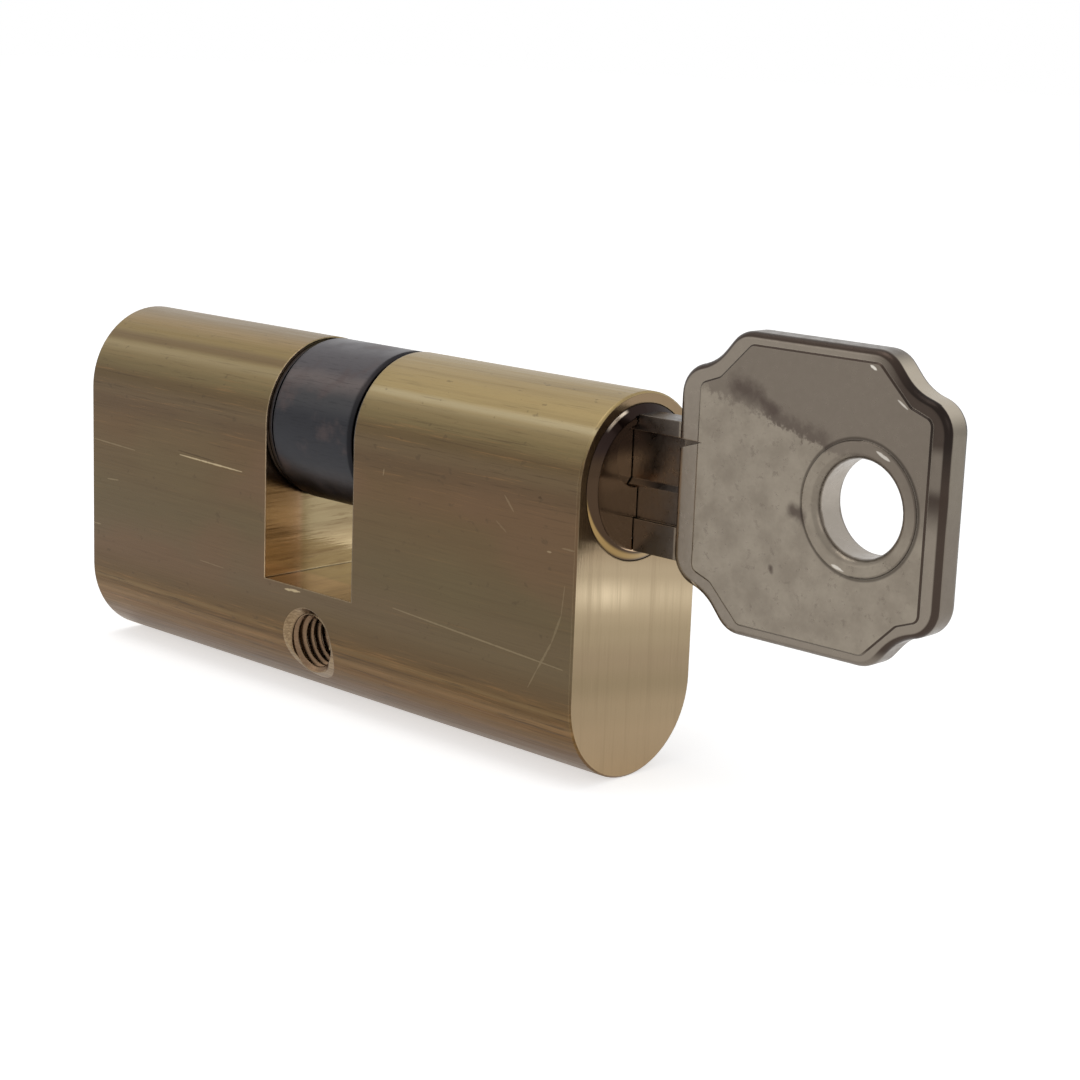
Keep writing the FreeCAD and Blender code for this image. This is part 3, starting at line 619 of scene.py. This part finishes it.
camLook = {
    "height": (10.4, 25.1),           # where the painted shading tones begin and end, raised by the clouds
    # painted light and shade by height, with a painted highlight band high up
    "shadingTones": [
        (0.1, screen(88, 80, 76)),
        (0.26, screen(64, 61, 62)),
        (0.37, screen(51, 51, 54)),
        (0.61, screen(50, 50, 53)),
        (0.73, screen(62, 61, 62)),
        (0.83, screen(98, 90, 88)),
        (0.89, screen(80, 76, 78)),
        (1.0, screen(77, 73, 76))],
    "brown": screen(84, 72, 70),
    "edge": screen(30, 30, 32),
    "roughness": (0.32, 0.44),
    "lineStretch": (0.12, 1.4, 1.4),
    "markStart": (-3.4, -6.4, 19.8),
    "markEnd": (-3.0, -6.4, 19.0),
    "shadedEnds": (4.3, 4.75),          # distances from the middle
    "edgeRadius": 0.2,
    "relief": (0.2, 0.02)}


def makeCamSteel():
    look = camLook
    material, tree, shader = newMaterial("camSteel", 1.0, 0.5)
    place = objectSpot(tree)[0]
    x, y, z = parts(tree, place)
    lines = useGroup(tree, toolLines, Place=place, Stretch=look["lineStretch"])
    cloud = noise(tree, place, 0.35, 3.0, 0.55)
    level = maths(tree, "MULTIPLY_ADD", cloud, 0.8, z)
    tone = ramp(tree, fade(tree, level, *look["height"], smooth=False), look["shadingTones"])
    tone = tint(tree, tone, look["brown"], cloud, 0.5, 0.66, 0.5)
    tone = tint(tree, tone, look["edge"], lines["Fine"], 0.5, 0.3, 0.35)
    mark = useGroup(tree, scratch, Place=place, Start=look["markStart"], End=look["markEnd"], Width=0.1)
    tone = blend(tree, product(tree, mark["Mask"], 0.8), tone, look["edge"])
    # painted shade on the broken edges at both ends, beside the slot walls
    tone = tint(tree, tone, look["edge"], maths(tree, "ABSOLUTE", x), *look["shadedEnds"], 0.75)
    edge = useGroup(tree, wornEdge, Radius=look["edgeRadius"] * mm)
    rough = fade(tree, cloud, 0.3, 0.7, look["roughness"])
    finishMetal(tree, shader, tone, rough, lines["Height"], *look["relief"], edge)
    return material


turnedLook = {
    "finishes": [                     # slot, name, light and dark tone, roughness, stretch of lines
        ("ring_steel", "ringSteel", screen(70, 68, 70), screen(46, 44, 46), (0.3, 0.45), (2.0, 2.0, 2.0)),
        ("coupler_steel", "couplerSteel", screen(150, 150, 152), screen(112, 112, 116), (0.28, 0.4),
         (3.0, 0.3, 3.0)),
        ("pin_brass", "pinBrass", screen(196, 168, 108), screen(160, 132, 78), (0.2, 0.3),
         (0.3, 0.3, 5.0)),
        ("stopper_brass", "stopperBrass", screen(180, 150, 96), screen(146, 118, 70), (0.25, 0.36),
         (0.3, 0.3, 5.0)),
        ("spring_wire", "springWire", screen(176, 176, 180), screen(140, 140, 146), (0.2, 0.3),
         (2.0, 2.0, 2.0))],
    "edgeRadius": 0.08,
    "relief": (0.2, 0.02)}


def makeTurnedMetal(name, tone, shade, roughness, stretch):
    # rings, couplers, pins, springs and chamber plugs
    material, tree, shader = newMaterial(name, 1.0, 0.5)
    lines = useGroup(tree, toolLines, Place=objectSpot(tree)[0], Stretch=stretch)
    edge = useGroup(tree, wornEdge, Radius=turnedLook["edgeRadius"] * mm)
    colour = blend(tree, fade(tree, lines["Fine"], 0.35, 0.65), shade, tone)
    rough = fade(tree, lines["Broad"], 0.3, 0.7, roughness)
    finishMetal(tree, shader, colour, rough, lines["Height"], *turnedLook["relief"], edge)
    return material


keyLook = {
    "plate": screen(126, 117, 105),
    "plateLight": screen(140, 131, 118),
    "upper": screen(112, 103, 93),
    "right": screen(111, 102, 92),
    "rim": screen(128, 119, 108),
    "rimShade": screen(68, 59, 53),
    # painted dark reflections on the rounded edges
    "round": screen(62, 52, 46),
    "roundDarkReflection": screen(40, 34, 31),
    "side": screen(120, 112, 100),
    "sideDark": screen(112, 103, 93),
    # painted shade where the side turns upward, and a painted glare near the top far corner
    "topSideShade": screen(102, 94, 86),
    "sideGlare": screen(176, 166, 150),
    "worn": screen(168, 159, 146),
    "eyeWall": screen(160, 152, 142),
    "dull": screen(100, 91, 82),
    "stain": screen(78, 68, 62),
    "blade": screen(84, 77, 71),
    # painted shade at the collar's foot and in corners
    "paintedShade": screen(44, 37, 33),
    "glint": screen(236, 230, 220),
    "eye": (50.9, 0.0, 19.4),
    "roughness": (0.26, 0.4),
    "rimDepth": (1.34, 1.31),         # distances from the key's middle plane
    "rimFrom": (34.3, 34.6),          # where the bow begins and the blade ends
    "bladeTo": (34.45, 34.35),
    "collarFoot": 4.88,               # radii about the ring hole
    "eyeEdge": (3.9, 3.7),
    "palerRim": 22.9,
    "shadeReach": 0.9,
    "edgeRadius": 0.12,
    "edgeWear": 0.3,
    "relief": (0.3, 0.04)}

# tarnished patches on the bow, in millimetres: start, end, width
keyStains = [
    ((39.9, -1.4, 26.5), (41.6, -1.4, 26.0), 1.7),
    ((41.6, -1.4, 26.0), (43.2, -1.4, 25.2), 1.1),
    ((45.3, -1.45, 18.5), (46.1, -1.45, 18.2), 1.2),
    ((43.7, -1.4, 14.0), (43.8, -1.4, 13.7), 0.4)]

# painted highlights along edges on the front of the bow: start, end, width and strength
keyGlints = [
    ((51.1, -1.45, 29.35), (51.6, -1.45, 29.1), 0.08, 0.7),
    ((53.5, -1.45, 27.3), (54.3, -1.45, 26.8), 0.05, 0.5),
    ((52.2, -1.65, 23.65), (53.3, -1.65, 23.15), 0.10, 0.5),
    ((49.1, -1.65, 15.25), (50.1, -1.65, 14.95), 0.10, 0.5),
    ((36.3, -1.2, 11.7), (37.1, -1.2, 11.1), 0.08, 0.7),
    ((39.8, -1.2, 8.95), (40.2, -1.2, 8.8), 0.06, 0.6)]


def keyFront(tree, place, look, cloud, mottle):
    # the bow's flat front and back, duller above a ragged slanting border
    x, y, z = parts(tree, place)
    tone = blend(tree, fade(tree, cloud, 0.3, 0.7), look["plate"], look["plateLight"])
    tone = tint(tree, tone, look["dull"], mottle, 0.46, 0.3, 0.45)
    slant = maths(tree, "MULTIPLY_ADD", x, 0.25, maths(tree, "SUBTRACT", z, 35.3))
    ragged = maths(tree, "MULTIPLY_ADD", mottle, 2.6, slant)
    tone = blend(tree, fade(tree, ragged, 0.9, 1.5), tone, look["upper"])
    # darkest just above the border, between the stain and the collar
    border = product(tree, window(tree, ragged, (0.9, 1.3), (2.8, 1.5)),
                     window(tree, x, (41.5, 43.0), (48.8, 47.6)), 0.6)
    tone = blend(tree, border, tone, look["stain"])
    right = product(tree, fade(tree, x, 50.5, 55.5), fade(tree, z, 17.0, 21.0))
    tone = blend(tree, right, tone, look["right"])
    patch = 0.0
    for start, end, width in keyStains:
        patch = maths(tree, "MAXIMUM", patch, useGroup(
            tree, stain, Place=place, Start=start, End=end, Width=width)["Mask"])
    return blend(tree, product(tree, patch, 0.85), tone, look["stain"]), patch


def makeKeyNickel():
    look = keyLook
    material, tree, shader = newMaterial("keyNickel", 1.0, 0.5)
    place, normal = objectSpot(tree)
    x, y, z = parts(tree, place)
    lengthways, sideways, upward = parts(tree, normal)
    facing = maths(tree, "ABSOLUTE", sideways)
    cloud = noise(tree, place, 0.45, 4.0, 0.6)
    mottle = noise(tree, place, 1.5, 4.0, 0.7)
    tone, patch = keyFront(tree, place, look, cloud, mottle)
    # rim round the panel, with painted shade toward the upper far corner
    rim = product(tree, fade(tree, maths(tree, "ABSOLUTE", y), *look["rimDepth"]),
                  fade(tree, x, *look["rimFrom"]))
    corner = product(tree, fade(tree, x, 50.0, 54.0), fade(tree, z, 18.2, 21.0),
                     near(tree, z, look["palerRim"], 1.9, 0.9, (1.0, 0.4)))
    tone = blend(tree, rim, tone, blend(tree, corner, look["rim"], look["rimShade"]))
    # rounded edges with a painted dark reflection, the outer side with painted shade and glare, and the
    # wall of the hole
    fromEye = vectorMaths(tree, "DISTANCE", joined(tree, x, 0.0, z), look["eye"])
    side = tint(tree, look["side"], look["sideDark"], z, 23.0, 17.0, 0.8)
    # painted shade where the side turns upward, and a painted glare near the top far corner
    side = blend(tree, product(tree, fade(tree, upward, 0.4, 0.8), fade(tree, x, 53.5, 52.0)),
                 side, look["topSideShade"])
    glare = product(tree, fade(tree, z, 25.5, 27.0), fade(tree, x, 52.3, 53.5))
    side = blend(tree, glare, side, look["sideGlare"])
    side = blend(tree, fade(tree, fromEye, *look["eyeEdge"]), side, look["eyeWall"])
    tone = blend(tree, fade(tree, facing, 0.2, 0.08), tone, side)
    # painted dark reflection on the rounded edges, darkest toward the upper far corner
    curvedReflection = product(tree, window(tree, facing, (0.98, 0.9), (0.1, 0.3)),
                     fade(tree, z, 9.0, 10.0, (0.3, 1.0)), fade(tree, fromEye, 4.5, 5.2, (0.2, 0.95)))
    dark = product(tree, fade(tree, x, 52.0, 55.0), fade(tree, z, 21.0, 25.0))
    tone = blend(tree, curvedReflection, tone, blend(tree, dark, look["round"], look["roundDarkReflection"]))
    # painted shade against the collar's foot and in every corner
    foot = near(tree, fromEye, look["collarFoot"], 0.2, 0.05)
    tone = blend(tree, product(tree, foot, 0.6), tone, look["paintedShade"])
    tone = blend(tree, fade(tree, x, *look["bladeTo"]), tone, look["blade"])
    paintedShade = useGroup(tree, occlusionShade, Reach=look["shadeReach"] * mm)["Mask"]
    tone = blend(tree, product(tree, paintedShade, 0.7), tone, look["paintedShade"])
    # painted highlights along the bow's edges
    glint = 0.0
    for start, end, width, strength in keyGlints:
        glint = maths(tree, "MAXIMUM", glint, product(tree, strength, useGroup(
            tree, scratch, Place=place, Start=start, End=end, Width=width)["Mask"]))
    tone = blend(tree, glint, tone, look["glint"])
    edge = useGroup(tree, wornEdge, Radius=look["edgeRadius"] * mm)
    tone = blend(tree, product(tree, edge["Mask"], look["edgeWear"]), tone, look["worn"])
    rough = fade(tree, mottle, 0.3, 0.7, look["roughness"])
    relief = maths(tree, "MULTIPLY_ADD", patch, 0.4, maths(tree, "ADD", mottle, cloud))
    finishMetal(tree, shader, tone, rough, relief, *look["relief"], edge)
    return material


def dressNodes():
    # each CAD piece gets the finish of its slot
    finishes = {
        "body_brass": makeBodyBrass(),
        "plug_brass": makePlugBrass(),
        "cam_steel": makeCamSteel(),
        "key_nickel": makeKeyNickel()}
    for slot, *values in turnedLook["finishes"]:
        finishes[slot] = makeTurnedMetal(*values)
    for item in frame["record"]["subparts"]:
        mesh = nodes[item["node"]].data
        mesh.materials.clear()
        mesh.materials.append(finishes[item["material_slot"]])
    return finishes


threadSizes = {
    "pitch": 0.8,
    "wall": 2.53,          # just inside the bore's wall, so that no gap shows
    "crest": 2.08,
    "rootHalf": 0.36,
    "crestHalf": 0.06,
    "from": -6.2,
    "to": 6.2,
    "endRise": 1.5,        # how fast the thread grows at its ends, per turn, and from what share
    "endShare": 0.02,
    "stepsPerTurn": 44}


def makeThread(finish):
    size = threadSizes
    turns = (size["to"] - size["from"]) / size["pitch"]
    count = int(turns * size["stepsPerTurn"])
    section = [(size["wall"], -size["rootHalf"]), (size["crest"], -size["crestHalf"]),
               (size["crest"], size["crestHalf"]), (size["wall"], size["rootHalf"])]
    points, faces = [], []
    for step in range(count + 1):
        angle = 2 * math.pi * step / size["stepsPerTurn"]
        middle = size["from"] + size["pitch"] * step / size["stepsPerTurn"]
        fromEnd = min(step, count - step)
        lead = min(1.0, size["endRise"] * fromEnd / size["stepsPerTurn"])
        for radius, along in section:
            radius = size["wall"] + (radius - size["wall"]) * max(lead, size["endShare"])
            points.append((radius * math.cos(angle) * mm, (middle + along) * mm,
                           radius * math.sin(angle) * mm))
    for step in range(count):
        near, far = 4 * step, 4 * step + 4
        for side in range(4):
            following = (side + 1) % 4
            faces.append((near + side, far + side, far + following, near + following))
    faces.append((0, 1, 2, 3))
    faces.append((4 * count + 3, 4 * count + 2, 4 * count + 1, 4 * count))
    mesh = bpy.data.meshes.new("screwThread")
    mesh.from_pydata(points, [], faces)
    mesh.update()
    thread = bpy.data.objects.new("screwThread", mesh)
    scene.collection.objects.link(thread)
    mesh.materials.append(finish)
    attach(thread, "housing")


finishes = dressNodes()
print("pieces dressed")
makeThread(finishes["body_brass"])
print("thread made")


studio = {
    "floorTone": (0.86, 0.86, 0.86, 1.0),
    "floorGlow": 0.58,
    "floorHalf": 3.0,                 # metres
    "surround": 0.5,
    "lamps": [                        # soft lamps that look at the part: place, size (metres), power
        ("lampAbove", (-0.10, -0.12, 0.62), 0.42, 0.8),
        ("lampRight", (0.62, -0.22, 0.34), 0.36, 0.35),
        ("lampLeft", (-0.42, -0.52, 0.30), 0.36, 0.2)],
    "target": (19.82, 0.0, 11.55),    # millimetres
    "azimuth": 43.29,
    "elevation": 12.38,
    "roll": 2.15,
    "distance": 178.79,
    "lens": 75.887,
    "sensor": 36.0}


def seenRays(tree):
    # what the camera sees, also in a mirror image, is paler than what lights the part
    ray = addNode(tree, "ShaderNodeLightPath").outputs
    return maths(tree, "MAXIMUM", ray["Is Camera Ray"], maths(
        tree, "MAXIMUM", ray["Is Glossy Ray"], ray["Is Transmission Ray"]))


def makeFloor():
    material, tree, shader = newMaterial("paperFloor", 0.0, 0.0)
    shader["Base Color"].default_value = studio["floorTone"]
    shader["Roughness"].default_value = 1.0
    shader["Emission Color"].default_value = (1.0, 1.0, 1.0, 1.0)
    feed(tree, product(tree, seenRays(tree), studio["floorGlow"]), shader["Emission Strength"])
    half, low = studio["floorHalf"], cadBox[0][2]
    mesh = bpy.data.meshes.new("paperFloor")
    mesh.from_pydata([(-half, -half, low), (half, -half, low), (half, half, low), (-half, half, low)],
                     [], [(0, 1, 2, 3)])
    floor = bpy.data.objects.new("paperFloor", mesh)
    scene.collection.objects.link(floor)
    mesh.materials.append(material)


def makeSurround():
    world = bpy.data.worlds.new("softSurround")
    scene.world = world
    world.use_nodes = True
    tree = world.node_tree
    tree.nodes.clear()
    back = tree.nodes.new("ShaderNodeBackground")
    back.inputs["Color"].default_value = (1.0, 1.0, 1.0, 1.0)
    strength = fade(tree, seenRays(tree), 0.0, 1.0, (studio["surround"], 1.0), smooth=False)
    feed(tree, strength, back.inputs["Strength"])
    tree.links.new(back.outputs[0], tree.nodes.new("ShaderNodeOutputWorld").inputs[0])


def makeLamps():
    aim = Vector(studio["target"]) * mm
    for name, place, size, power in studio["lamps"]:
        light = bpy.data.lights.new(name, "AREA")
        light.shape = "DISK"
        light.size = size
        light.energy = power
        lamp = bpy.data.objects.new(name, light)
        scene.collection.objects.link(lamp)
        lamp.location = place
        lamp.rotation_euler = (aim - Vector(place)).to_track_quat("-Z", "Y").to_euler()


def makeCamera():
    turn, lift, roll = (math.radians(studio[name]) for name in ("azimuth", "elevation", "roll"))
    back = Vector((math.sin(turn) * math.cos(lift), -math.cos(turn) * math.cos(lift), math.sin(lift)))
    right = (-back).cross(Vector((0, 0, 1))).normalized()
    up = right.cross(-back)
    leanRight = right * math.cos(roll) + up * math.sin(roll)
    leanUp = up * math.cos(roll) - right * math.sin(roll)
    lens = bpy.data.cameras.new("photoView")
    lens.lens = studio["lens"]
    lens.sensor_width = studio["sensor"]
    lens.clip_start = 0.01
    camera = bpy.data.objects.new("photoView", lens)
    scene.collection.objects.link(camera)
    place = (Vector(studio["target"]) + back * studio["distance"]) * mm
    turned = Matrix((leanRight, leanUp, back)).transposed().to_4x4()
    camera.matrix_world = Matrix.Translation(place) @ turned
    scene.camera = camera


makeFloor()
makeSurround()
makeLamps()
makeCamera()
scene.view_settings.view_transform = "Standard"
print("floor, light and camera set")
